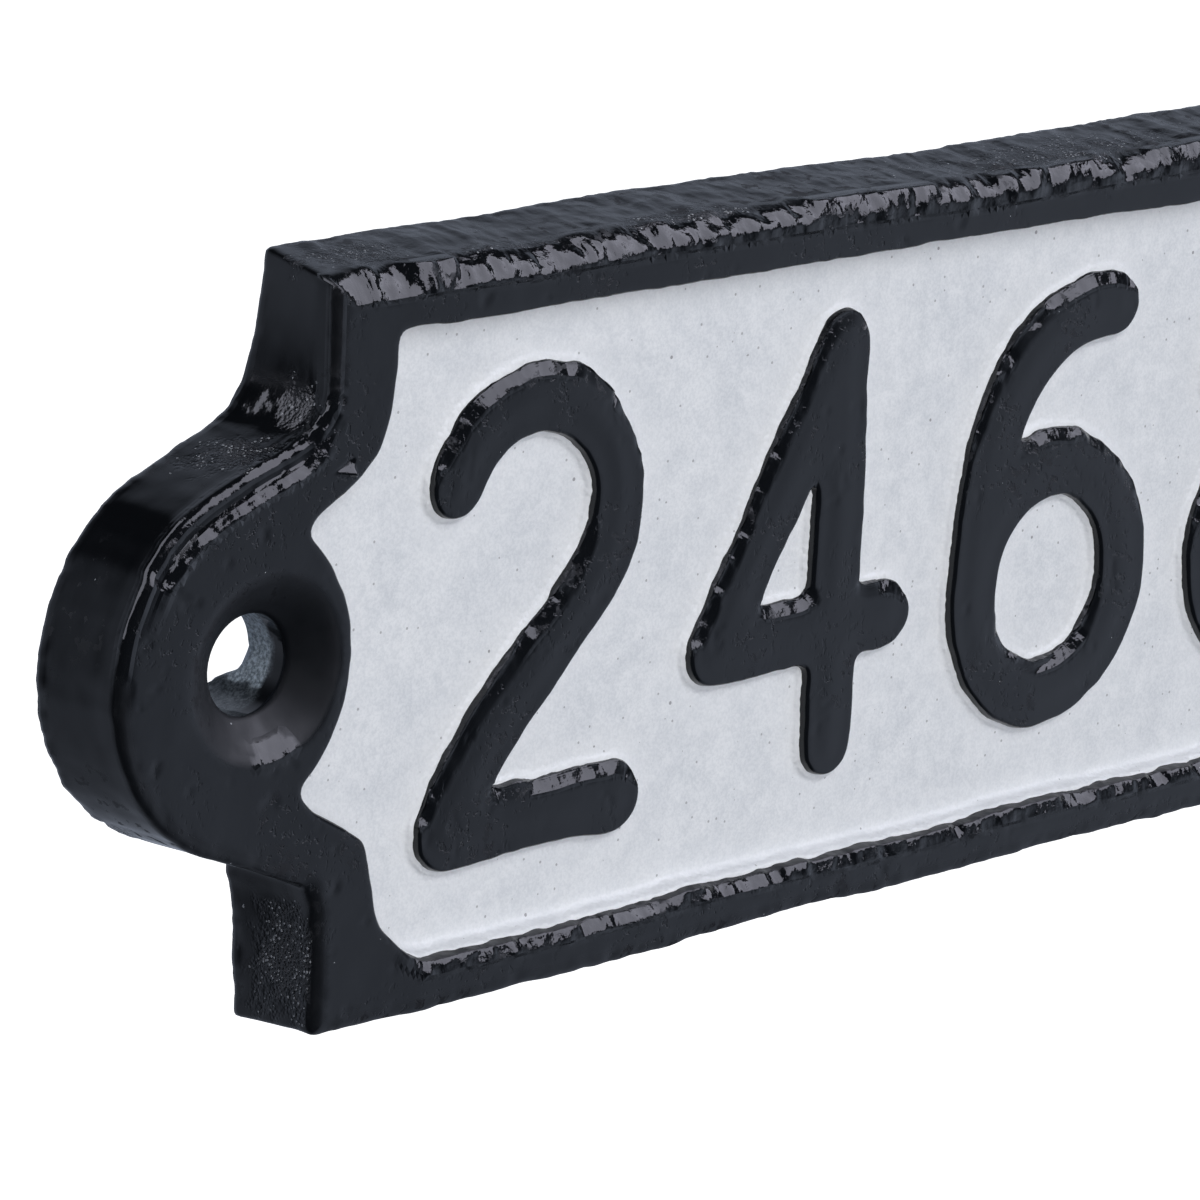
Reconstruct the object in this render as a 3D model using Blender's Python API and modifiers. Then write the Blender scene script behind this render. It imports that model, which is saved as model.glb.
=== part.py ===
"""Cast iron sign plate: a raised border with two screw lugs, a back panel, a white field and raised figures.

Metres, +Z up. The origin is the centre of the flat back, +X runs along the sign and the front faces -Y.
The plate is one casting, so nothing moves. Its pieces follow the way its foundry pattern is built up.
"""

import math

import bmesh
import bpy
from mathutils import Vector
from mathutils.geometry import interpolate_bezier
from mathutils.kdtree import KDTree

# Overall size
HEIGHT = 0.0500
THICKNESS = 0.0077
HOLE_SPACING = 0.1250
LUG_RADIUS = 0.0123

# The lugs' flanks slope out to the body's ends, which lean in towards the corners
FLANK_ANGLE = math.radians(20.8)
END_INSET = 0.0042
END_LEAN = 0.0013
UPPER_COVE_RADIUS = 0.0025
LOWER_COVE_RADIUS = 0.0006
EDGE_ROUNDING = 0.0014

# The recess inside the border, from the hole centres and from the plate's middle height
RECESS_END_INSET = 0.0100
RECESS_TOP = 0.0200
RECESS_BOTTOM = -0.0215
RECESS_CORNER_RADIUS = 0.0012
BULGE_RADIUS = 0.0075
BULGE_HEIGHT = 0.0165
RING_RADIUS = 0.0105
RING_OFFSET = 0.0031
CUSP_INSET = 0.0032
WALL_DRAFT = 0.0004

# Distances from the back face
PANEL_FRONT = 0.0046
FIELD_FRONT = 0.0057
FIGURE_FRONT = 0.0070

# Countersunk screw holes
BORE_RADIUS = 0.0033
COUNTERSINK_RADIUS = 0.0059
COUNTERSINK_DEPTH = 0.0019

# Figures, drawn with round-ended strokes in cells of one size
FIGURE_WIDTH = 0.0225
FIGURE_HEIGHT = 0.0332
FIGURE_PITCH = 0.0255
STROKE_WIDTH = 0.0052
STROKE_DRAFT = 0.0005

# Clear gap between neighbouring solids, and how far a cutter runs past what it cuts
GAP = 0.0003
OVERRUN = 0.0020

# How many straight steps stand in for each round stretch
LUG_STEPS = 16
RECESS_ARC_STEPS = 10
CORNER_STEPS = 4
HOLE_STEPS = 40
LOOP_STEPS = 40
BEND_STEPS = 14
CAP_STEPS = 8

# Edges bent more than this are shaded sharp
SHARP_ANGLE = math.radians(25)


def start_collections():
    """Empties the scene, and makes one collection for the plate's pieces and one for the cutters."""
    for old in list(bpy.data.objects):
        bpy.data.objects.remove(old)
    made = []
    for name in ("sign_plate", "cutters"):
        collection = bpy.data.collections.new(name)
        bpy.context.scene.collection.children.link(collection)
        made.append(collection)
    return made


def paint(name, colour, roughness):
    material = bpy.data.materials.new(name)
    material.use_nodes = True
    shader = material.node_tree.nodes["Principled BSDF"]
    shader.inputs["Base Color"].default_value = (*colour, 1.0)
    shader.inputs["Roughness"].default_value = roughness
    shader.inputs["Metallic"].default_value = 0.0
    return material


def black_border_paint():
    return paint("black_border_paint", (0.012, 0.013, 0.017), 0.22)


def black_back_paint():
    return paint("black_back_paint", (0.010, 0.010, 0.012), 0.50)


def white_field_paint():
    return paint("white_field_paint", (0.76, 0.79, 0.84), 0.45)


def black_figure_paint():
    return paint("black_figure_paint", (0.014, 0.015, 0.018), 0.28)


def on_ellipse(centre, half_width, half_height, angle):
    return centre + Vector((half_width * math.cos(angle), half_height * math.sin(angle)))


def arc(centre, radius, start, end, steps):
    """Points on a circle from one angle to another, both ends included."""
    turn = (end - start) / steps
    return [on_ellipse(centre, radius, radius, start + turn * i) for i in range(steps + 1)]


def fillet(before, corner, after, radius, steps):
    """The corner between two straight edges, rounded."""
    back = (before - corner).normalized()
    onward = (after - corner).normalized()
    half = back.angle(onward) / 2
    middle = corner + (back + onward).normalized() * radius / math.sin(half)
    first = corner + back * radius / math.tan(half) - middle
    last = corner + onward * radius / math.tan(half) - middle
    start = math.atan2(first.y, first.x)
    turn = math.remainder(math.atan2(last.y, last.x) - start, math.tau)
    return arc(middle, radius, start, start + turn, steps)


def mirrored(points, x_sign, z_sign):
    """A quarter outline mirrored into another quarter, still running anticlockwise."""
    turned = [Vector((x_sign * p.x, z_sign * p.y)) for p in points]
    return turned if x_sign == z_sign else turned[::-1]


def closed_outline(upper, lower):
    """A whole outline from its upper right quarter and from its lower one drawn as if it were upper."""
    left_half = mirrored(upper, -1, 1) + mirrored(lower, -1, -1)[1:]
    return upper + left_half + mirrored(lower, 1, -1)[:-1]


def plate_quarter(cove_radius):
    """From the right lug's tip, up its flank and through the cove, to the body's corner."""
    lug = Vector((HOLE_SPACING / 2, 0))
    points = arc(lug, LUG_RADIUS, 0, math.pi / 2 - FLANK_ANGLE, LUG_STEPS)
    flank_end = points[-1]
    run = (flank_end.x - lug.x + END_INSET) / math.cos(FLANK_ANGLE)
    cove = flank_end + run * Vector((-math.cos(FLANK_ANGLE), math.sin(FLANK_ANGLE)))
    corner = Vector((lug.x - END_INSET - END_LEAN, HEIGHT / 2))
    return points + fillet(flank_end, cove, corner, cove_radius, CORNER_STEPS) + [corner]


def plate_outline():
    return closed_outline(plate_quarter(UPPER_COVE_RADIUS), plate_quarter(LOWER_COVE_RADIUS))


def recess_quarter(edge_height, clearance):
    """From the middle of the ring round the right hole, over the blunt cusp and the bulge, to the corner."""
    hole_x = HOLE_SPACING / 2
    ring = Vector((hole_x + RING_OFFSET, 0))
    bulge = Vector((hole_x - RECESS_END_INSET + BULGE_RADIUS, BULGE_HEIGHT))
    ring_radius = RING_RADIUS + clearance
    bulge_radius = BULGE_RADIUS + clearance
    cusp_x = hole_x - CUSP_INSET - clearance
    ring_end = math.pi - math.acos((ring.x - cusp_x) / ring_radius)
    bulge_start = math.pi + math.acos((bulge.x - cusp_x) / bulge_radius)
    points = arc(ring, ring_radius, math.pi, ring_end, RECESS_ARC_STEPS)
    points += arc(bulge, bulge_radius, bulge_start, math.pi, RECESS_ARC_STEPS)
    corner = Vector((points[-1].x, edge_height - clearance))
    inward = corner - Vector((BULGE_RADIUS, 0))
    return points + fillet(points[-1], corner, inward, RECESS_CORNER_RADIUS, CORNER_STEPS)


def recess_outline(clearance=0.0):
    """The recess inside the border, or with a clearance what fills it and stays clear of the border."""
    upper = recess_quarter(RECESS_TOP, clearance)
    return closed_outline(upper, recess_quarter(-RECESS_BOTTOM, clearance))


def flat_solid(name, outlines, back, front, front_outlines=None):
    """A solid with outlines in X and Z, between two distances from the back. Its front may be drafted."""
    curve = bpy.data.curves.new(name, "CURVE")
    curve.dimensions = "2D"
    curve.fill_mode = "BOTH"
    curve.extrude = (front - back) / 2
    for outline in outlines:
        spline = curve.splines.new("POLY")
        spline.points.add(len(outline) - 1)
        for point, place in zip(spline.points, outline):
            point.co = (place.x, place.y, 0, 1)
        spline.use_cyclic_u = True
    helper = bpy.data.objects.new(name + "_outline", curve)
    helper.location = (0, -(front + back) / 2, 0)
    helper.rotation_euler = (math.pi / 2, 0, 0)
    bpy.context.scene.collection.objects.link(helper)
    bpy.context.view_layer.update()
    graph = bpy.context.evaluated_depsgraph_get()
    solid = bpy.data.objects.new(name, bpy.data.meshes.new_from_object(helper.evaluated_get(graph)))
    solid.matrix_world = helper.matrix_world
    bpy.data.objects.remove(helper)
    weld(solid.data)
    if front_outlines:
        draft_front(solid.data, outlines, front_outlines)
    return solid


def weld(mesh):
    """Joins the caps of a mesh that was a curve to its sides."""
    shape = bmesh.new()
    shape.from_mesh(mesh)
    bmesh.ops.remove_doubles(shape, verts=shape.verts, dist=1e-6)
    bmesh.ops.recalc_face_normals(shape, faces=shape.faces)
    shape.to_mesh(mesh)
    shape.free()


def draft_front(mesh, outlines, front_outlines):
    """Moves the front points of a flat solid to other outlines that have the same number of points."""
    starts = [point for outline in outlines for point in outline]
    ends = [point for outline in front_outlines for point in outline]
    tree = KDTree(len(starts))
    for i, point in enumerate(starts):
        tree.insert((point.x, point.y, 0), i)
    tree.balance()
    for vertex in mesh.vertices:
        if vertex.co.z > 0:
            end = ends[tree.find((vertex.co.x, vertex.co.y, 0))[1]]
            vertex.co.x, vertex.co.y = end
    refill_front(mesh)


def refill_front(mesh):
    """Fills a moved front again: the triangles of its old outline would fold over each other."""
    shape = bmesh.new()
    shape.from_mesh(mesh)
    front = {face for face in shape.faces if all(vertex.co.z > 0 for vertex in face.verts)}
    rim = [edge for edge in shape.edges if sum(face in front for face in edge.link_faces) == 1]
    bmesh.ops.delete(shape, geom=list(front), context="FACES")
    bmesh.ops.triangle_fill(shape, edges=rim, use_beauty=True, normal=(0, 0, 1))
    bmesh.ops.recalc_face_normals(shape, faces=shape.faces)
    shape.to_mesh(mesh)
    shape.free()


def as_cutter(helper, cutters):
    cutters.objects.link(helper)
    helper.hide_render = True
    helper.display_type = "WIRE"
    return helper


def add_boolean(solid, other, operation):
    modifier = solid.modifiers.new(other.name, "BOOLEAN")
    modifier.operation = operation
    modifier.object = other
    modifier.solver = "EXACT"


def as_piece(solid, plate, material):
    """Paints a finished solid, applies its modifiers, and shades its round faces smooth."""
    plate.objects.link(solid)
    bpy.context.view_layer.update()
    graph = bpy.context.evaluated_depsgraph_get()
    solid.data = bpy.data.meshes.new_from_object(solid.evaluated_get(graph))
    solid.modifiers.clear()
    solid.data.materials.clear()
    solid.data.materials.append(material)
    solid.data.shade_smooth()
    solid.data.set_sharp_from_angle(angle=SHARP_ANGLE)


def round_front_edge(solid):
    """Rounds the edge all round the front of a flat solid."""
    shape = bmesh.new()
    shape.from_mesh(solid.data)
    weight = shape.edges.layers.float.new("bevel_weight_edge")
    front = max(v.co.z for v in shape.verts)
    for edge in shape.edges:
        at_front = all(front - v.co.z < GAP for v in edge.verts)
        if at_front and edge.calc_face_angle() > math.pi / 4:
            edge[weight] = 1.0
    shape.to_mesh(solid.data)
    shape.free()
    bevel = solid.modifiers.new("rounded_front_edge", "BEVEL")
    bevel.limit_method = "WEIGHT"
    bevel.width = EDGE_ROUNDING
    bevel.segments = 3


def screw_hole_cutter(name, x, cutters):
    """A turned cutter: the bore, the countersink and an overrun past both faces."""
    cone_start = THICKNESS - COUNTERSINK_DEPTH
    profile = [
        (0, THICKNESS + OVERRUN),
        (COUNTERSINK_RADIUS, THICKNESS + OVERRUN),
        (COUNTERSINK_RADIUS, THICKNESS),
        (BORE_RADIUS, cone_start),
        (BORE_RADIUS, -OVERRUN),
        (0, -OVERRUN),
    ]
    mesh = bpy.data.meshes.new(name)
    edges = [(i, i + 1) for i in range(len(profile) - 1)]
    mesh.from_pydata([(radius, 0, depth) for radius, depth in profile], edges, [])
    cutter = bpy.data.objects.new(name, mesh)
    cutter.location = (x, 0, 0)
    cutter.rotation_euler = (math.pi / 2, 0, 0)
    screw = cutter.modifiers.new("turned", "SCREW")
    screw.steps = HOLE_STEPS
    screw.render_steps = HOLE_STEPS
    screw.use_merge_vertices = True
    screw.merge_threshold = 1e-5
    return as_cutter(cutter, cutters)


def opening_cutter():
    """What the panel and the field fill, from below the back to between the field and the front."""
    top = (FIELD_FRONT + THICKNESS) / 2
    return flat_solid("opening_cutter", [recess_outline()], -OVERRUN, top)


def drafted_wall_cutter():
    """The sloping wall from the field up to the front, carried on past both."""
    height = THICKNESS - FIELD_FRONT
    narrow = [recess_outline(WALL_DRAFT)]
    wide = [recess_outline(-2 * WALL_DRAFT)]
    return flat_solid("wall_cutter", narrow, FIELD_FRONT - height, THICKNESS + height, wide)


def make_border(plate, cutters):
    """The border and both lugs, at full thickness, open where the panel and the field go."""
    border = flat_solid("border", [plate_outline()], 0, THICKNESS)
    round_front_edge(border)
    for cutter in (opening_cutter(), drafted_wall_cutter()):
        add_boolean(border, as_cutter(cutter, cutters), "DIFFERENCE")
    for side, x in (("left", -HOLE_SPACING / 2), ("right", HOLE_SPACING / 2)):
        add_boolean(border, screw_hole_cutter(side + "_hole_cutter", x, cutters), "DIFFERENCE")
    as_piece(border, plate, black_border_paint())


def make_back_panel(plate):
    """The flat web that fills the border and carries the figures."""
    panel = flat_solid("back_panel", [recess_outline(GAP)], 0, PANEL_FRONT)
    as_piece(panel, plate, black_back_paint())


def make_white_field(plate):
    """The painted ground that the figures stand on."""
    field = flat_solid("white_field", [recess_outline(GAP)], PANEL_FRONT + GAP, FIELD_FRONT)
    as_piece(field, plate, white_field_paint())


def offset_line(points, distance, closed):
    """A line moved to its left by a distance, with its corners mitred."""
    moved = []
    last = len(points) - 1
    for i, point in enumerate(points):
        before = points[i - 1] if closed or i > 0 else points[0]
        after = points[(i + 1) % len(points)] if closed or i < last else points[last]
        arriving = (point - before).normalized()
        leaving = (after - point).normalized()
        way = (arriving + leaving).normalized()
        mitre = max(way.dot(arriving), way.dot(leaving))
        moved.append(point + Vector((-way.y, way.x)) * distance / mitre)
    return moved


def open_stroke(points, half_width):
    """The outline of a stroke with round ends."""
    outline = []
    for side in (points, points[::-1]):
        outline += offset_line(side, -half_width, False)
        way = side[-1] - side[-2]
        start = math.atan2(way.y, way.x) - math.pi / 2
        outline += arc(side[-1], half_width, start, start + math.pi, CAP_STEPS)[1:-1]
    return [outline]


def loop_stroke(points, half_width):
    """The two outlines of a stroke that closes on itself."""
    return [offset_line(points, side * half_width, True) for side in (-1, 1)]


def cell_place(across, up):
    """A place on the strokes' middle lines, as shares of the way from the cell's middle to its sides."""
    half_width = (FIGURE_WIDTH - STROKE_WIDTH) / 2
    half_height = (FIGURE_HEIGHT - STROKE_WIDTH) / 2
    return Vector((across * half_width, up * half_height))


def bend(middle, size, start, end):
    """Part of an ellipse, with its middle and half sizes as shares of the cell."""
    turn = math.radians(end - start) / BEND_STEPS
    first = math.radians(start)
    angles = [first + turn * i for i in range(BEND_STEPS + 1)]
    return [on_ellipse(cell_place(*middle), *cell_place(*size), angle) for angle in angles]


def loop(middle, size):
    """A whole ellipse, with its middle and half sizes as shares of the cell."""
    angles = [math.tau * i / LOOP_STEPS for i in range(LOOP_STEPS)]
    return [on_ellipse(cell_place(*middle), *cell_place(*size), angle) for angle in angles]


def sweep(start, leave, arrive, end):
    """A curve between two places, pulled towards the two places between them."""
    places = [cell_place(*place) for place in (start, leave, arrive, end)]
    return interpolate_bezier(*places, BEND_STEPS)


def figure_two():
    hook = bend(middle=(0, 0.47), size=(0.88, 0.53), start=160, end=-20)
    down = sweep((0.83, 0.29), (0.66, -0.05), (-0.45, -0.45), (-0.84, -0.96))
    foot = [cell_place(-0.84, -1), cell_place(0.95, -1)]
    return [(open_stroke, hook + down[1:]), (open_stroke, foot)]


def figure_four():
    apex = cell_place(0.39, 1)
    slope = [apex, cell_place(-0.94, -0.38)]
    bar = [cell_place(-0.96, -0.40), cell_place(1, -0.40)]
    upright = [apex, cell_place(0.39, -1)]
    return [(open_stroke, line) for line in (upright, slope, bar)]


def figure_six():
    bowl = loop(middle=(0, -0.40), size=(0.92, 0.60))
    stem = sweep((-0.90, -0.36), (-0.94, 0.42), (-0.40, 1), (0.66, 0.97))
    return [(loop_stroke, bowl), (open_stroke, stem)]


def figure_eight():
    upper = loop(middle=(0, 0.52), size=(0.78, 0.48))
    lower = loop(middle=(0, -0.46), size=(0.92, 0.54))
    return [(loop_stroke, line) for line in (lower, upper)]


def make_stroke(name, stroke, line):
    """One stroke of a figure, a little narrower at its front."""
    base = stroke(line, STROKE_WIDTH / 2)
    front = stroke(line, STROKE_WIDTH / 2 - STROKE_DRAFT)
    return flat_solid(name, base, FIELD_FRONT + GAP, FIGURE_FRONT, front)


def make_figure(digit, strokes, x, plate, cutters):
    """One raised figure, joined from its strokes."""
    figure = None
    for number, (stroke, line) in enumerate(strokes):
        placed = [point + Vector((x, 0)) for point in line]
        if figure is None:
            figure = make_stroke("figure_" + digit, stroke, placed)
        else:
            other = make_stroke(f"stroke_{digit}_{number + 1}", stroke, placed)
            add_boolean(figure, as_cutter(other, cutters), "UNION")
    as_piece(figure, plate, black_figure_paint())


def make_figures(plate, cutters):
    designs = {"2": figure_two, "4": figure_four, "6": figure_six, "8": figure_eight}
    first_x = -(len(designs) - 1) / 2 * FIGURE_PITCH
    for i, (digit, design) in enumerate(designs.items()):
        make_figure(digit, design(), first_x + i * FIGURE_PITCH, plate, cutters)


def main():
    plate, cutters = start_collections()
    make_border(plate, cutters)
    make_back_panel(plate)
    make_white_field(plate)
    make_figures(plate, cutters)


main()
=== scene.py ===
import math

import bpy
import numpy as np
from mathutils import Matrix, Vector
from mathutils.geometry import delaunay_2d_cdt


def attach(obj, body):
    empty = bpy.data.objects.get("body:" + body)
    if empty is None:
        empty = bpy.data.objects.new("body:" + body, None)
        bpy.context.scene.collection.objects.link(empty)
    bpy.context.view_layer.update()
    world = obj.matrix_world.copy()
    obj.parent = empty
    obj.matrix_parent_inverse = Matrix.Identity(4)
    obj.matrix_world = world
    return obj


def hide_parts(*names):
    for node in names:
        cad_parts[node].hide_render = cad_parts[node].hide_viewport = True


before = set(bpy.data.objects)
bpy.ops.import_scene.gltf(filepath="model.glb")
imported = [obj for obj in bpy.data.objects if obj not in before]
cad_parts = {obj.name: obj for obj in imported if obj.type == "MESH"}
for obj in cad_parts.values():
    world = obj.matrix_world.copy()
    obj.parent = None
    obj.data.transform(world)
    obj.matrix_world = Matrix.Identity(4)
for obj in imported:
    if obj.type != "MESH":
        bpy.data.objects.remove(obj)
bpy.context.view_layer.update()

# Millimetres, up to the making of a mesh or the camera; lamps and floor are in metres.
# A place is (x, depth, z): x to the right, depth out of the wall, z up.
mm = 0.001


# Noise and outlines

def hashNoise(cell, seed):
    mixed = cell[:, 0] * 73856093 ^ cell[:, 1] * 19349663 ^ cell[:, 2] * 83492791 ^ seed * 2654435
    mixed = (mixed ^ mixed >> 13) * 1274126177 & 0x7FFFFFFF
    mixed = (mixed ^ mixed >> 15) * 668265263 & 0x7FFFFFFF
    return (mixed >> 7 & 0xFFFF) / 32767.5 - 1


def lumps(places, length, seed, layers=2):
    # smooth noise from -1 to 1, with finer layers on it
    total = np.zeros(len(places))
    weight = 1.0
    for layer in range(layers):
        at = places / length * 2 ** layer + 17.3 * layer
        cell = np.floor(at).astype(np.int64)
        part = at - cell
        part = part ** 3 * (part * (part * 6 - 15) + 10)
        for corner in range(8):
            step = np.array([corner & 1, corner >> 1 & 1, corner >> 2 & 1])
            share = np.prod(np.where(step, part, 1 - part), axis=1)
            total += weight * share * hashNoise(cell + step, seed + layer)
        weight *= 0.5
    return total / (2 - 2 * weight)


def ramp(value, low, high):
    share = np.clip((value - low) / (high - low), 0, 1)
    return share * share * (3 - 2 * share)


def placed(flat, depth=0.0):
    # flat (x, z) places, set at a depth
    return np.column_stack([flat[:, 0], np.zeros(len(flat)) + depth, flat[:, 1]])


def lengths(ways):
    return np.linalg.norm(ways, axis=-1)


def nodeOutlines(nodeName):
    # of a node's flat back: the outer one first, anticlockwise, then holes, clockwise
    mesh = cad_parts[nodeName].data
    keys = [tuple(round(c / mm, 3) for c in vertex.co) for vertex in mesh.vertices]
    places = list(dict.fromkeys(keys))
    spot = {key: i for i, key in enumerate(places)}
    sides = set()
    for face in mesh.polygons:
        if face.normal.y > 0.99:
            ring = [spot[keys[i]] for i in face.vertices][::-1]
            sides.update(zip(ring, ring[1:] + ring[:1]))
    following = {a: b for a, b in sides if (b, a) not in sides}
    loops = []
    while following:
        at, loop = next(iter(following)), []
        while at in following:
            loop.append(places[at])
            at = following.pop(at)
        loops.append(np.array(loop)[:, [0, 2]])
    return sorted(loops, key=lambda loop: -np.ptp(loop[:, 0]))


def easedAlong(values, step, softness):
    # places along an outline, averaged over a distance
    count = len(values)
    away = np.minimum(np.arange(count), count - np.arange(count)) * step
    bell = np.exp(-0.5 * (away / softness) ** 2)
    bell = np.fft.fft(bell / bell.sum())
    return np.column_stack([np.fft.ifft(np.fft.fft(part) * bell).real for part in values.T])


def evenLoop(loop, step, softness):
    # evenly spaced points, with corners eased over a distance
    closed = np.vstack([loop, loop[:1]])
    run = np.concatenate([[0], np.cumsum(lengths(np.diff(closed, axis=0)))])
    count = int(round(run[-1] / step))
    at = np.arange(count) * run[-1] / count
    even = np.column_stack([np.interp(at, run, closed[:, axis]) for axis in (0, 1)])
    return easedAlong(even, step, softness)


def outward(loop):
    way = np.roll(loop, -1, axis=0) - np.roll(loop, 1, axis=0)
    way /= lengths(way)[:, None]
    return np.column_stack([way[:, 1], -way[:, 0]])


def wavyLoop(loop, waves, seed):
    # waves is (height, length) for each size of wave
    shift = sum(height * lumps(placed(loop), length, seed + i, 1) for i, (height, length) in enumerate(waves))
    return loop + outward(loop) * shift[:, None]


def within(places, loops, withNearest=False):
    # distance to the nearest outline, above 0 in the material, and if asked for
    # the outward direction there and the nearest point
    corners = np.vstack(loops)
    ways = np.vstack([outward(loop) for loop in loops])
    besides = [np.vstack([np.roll(loop, turn, axis=0) for loop in loops]) for turn in (-1, 1)]
    parts = []
    for start in range(0, max(len(places), 1), 4000):
        chunk = places[start:start + 4000]
        apart = (chunk ** 2).sum(1)[:, None] - 2 * chunk @ corners.T + (corners ** 2).sum(1)[None]
        near = apart.argmin(axis=1)
        best = np.full(len(chunk), 1e9)
        side = np.ones(len(chunk))
        for ends in besides:
            first, along = corners[near], ends[near] - corners[near]
            share = np.clip(((chunk - first) * along).sum(1) / (along ** 2).sum(1), 0, 1)
            gap = chunk - first - along * share[:, None]
            size = lengths(gap)
            closer = size < best
            best = np.where(closer, size, best)
            side = np.where(closer, -np.sign((gap * ways[near]).sum(1) + 1e-12), side)
        parts.append((best * side, ways[near], corners[near]))
    found = [np.concatenate(part) for part in zip(*parts)]
    return found if withNearest else found[0]


# Meshing

def ringsBeside(loop, offsets, loops):
    # copies moved inwards, or outwards by an offset below 0, where they have room
    rings = []
    for offset in offsets:
        ring = loop - outward(loop) * np.reshape(offset, (-1, 1))
        away = within(ring, loops) * np.where(np.less(offset, 0), -1, 1)
        rings.append(ring[away > np.abs(offset) * 0.97 - 1e-6])
    return rings


def hexPlaces(loops, step):
    low, high = loops[0].min(axis=0), loops[0].max(axis=0)
    rows = np.arange(low[1], high[1], step * math.sqrt(0.75))
    grid = np.stack(np.meshgrid(np.arange(low[0], high[0], step), rows), -1)
    grid[1::2, :, 0] += step / 2
    return grid.reshape(-1, 2)


def triangulate(loops, extra):
    # the outlines' points come first in the result
    places = np.vstack([*loops, *extra])
    sides, start = [], 0
    for loop in loops:
        ring = list(range(start, start + len(loop)))
        sides += zip(ring, ring[1:] + ring[:1])
        start += len(loop)
    made = delaunay_2d_cdt([Vector(p) for p in places], sides, [], 0, 1e-7, True)
    places = np.array([p[:] for p in made[0]])
    faces = np.array(made[2])
    middles = places[faces].mean(axis=1)
    faces = faces[within(middles, loops) > 0]
    first = places[faces[:, 0]]
    turn = np.cross(places[faces[:, 1]] - first, places[faces[:, 2]] - first)
    faces[turn < 0] = faces[turn < 0][:, ::-1]
    return places, faces


def backSkin(loops, step, clear):
    grid = hexPlaces(loops, step)
    return triangulate(loops, [grid[within(grid, loops) > clear]])


def easedWays(loop):
    # outward directions that agree at a corner, so that its points don't cross
    return easedAlong(outward(loop), np.linalg.norm(loop[1] - loop[0]), 0.7)


def closedSolid(loops, front, frontDepth, back, foot, shifts=(), rowHeight=1.0):
    # front and back skins whose outlines match point for point, joined
    (frontPlaces, frontFaces), (backPlaces, backFaces) = front, back
    backStart, start = len(frontPlaces), 0
    solid = [placed(frontPlaces, frontDepth), placed(backPlaces, foot)]
    faces = [frontFaces, backFaces[:, ::-1] + backStart]
    total = backStart + len(backPlaces)
    for i, loop in enumerate(loops):
        along = np.arange(len(loop))
        onward = np.roll(along, -1)
        top = frontDepth[start + along]
        rows = max(int(round((top - foot).mean() / rowHeight)), 1)
        upper = start
        for row in range(1, rows + 1):
            lower = backStart + start
            if row < rows:
                lower = total
                total += len(loop)
                depth = top + (foot - top) * row / rows
                solid.append(placed(loop + shifts[i](loop, depth), depth))
            faces.append(np.column_stack([upper + along, lower + along, lower + onward]))
            faces.append(np.column_stack([upper + along, lower + onward, upper + onward]))
            upper = lower
        start += len(loop)
    return np.vstack(solid), np.vstack(faces)


def surfaceNormals(places, faces):
    # depth runs against y, which turns the cross product round
    corner = places[faces]
    across = np.cross(corner[:, 2] - corner[:, 0], corner[:, 1] - corner[:, 0])
    normals = np.zeros_like(places)
    for i in range(3):
        np.add.at(normals, faces[:, i], across)
    return normals / np.maximum(lengths(normals), 1e-12)[:, None]


def unevenness(table, areas, follows, seed=0):
    # all the lumps of a table such as castingLumps
    push = 0
    for area, rows in table.items():
        for height, length, own, layers, *along in rows:
            where = follows[along[0] if along else "place"]
            push = push + height * areas[area] * lumps(where, length, seed + own, layers)
    return push


def addObject(name, data):
    made = bpy.data.objects.new(name, data)
    bpy.context.scene.collection.objects.link(made)
    return made


def makePiece(name, places, faces, masks, material, replaced):
    mesh = bpy.data.meshes.new(name)
    mesh.from_pydata(places * [mm, -mm, mm], [], faces)
    mesh.validate()
    mesh.shade_smooth()
    for maskName, values in masks.items():
        mask = mesh.attributes.new(maskName, "FLOAT", "POINT")
        mask.data.foreach_set("value", values.astype(np.float32))
    piece = addObject(name, mesh)
    mesh.materials.append(material)
    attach(piece, "root")
    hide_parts(*replaced)
    print(name, len(places), "points", len(faces), "triangles")


# Shader node groups

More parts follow.
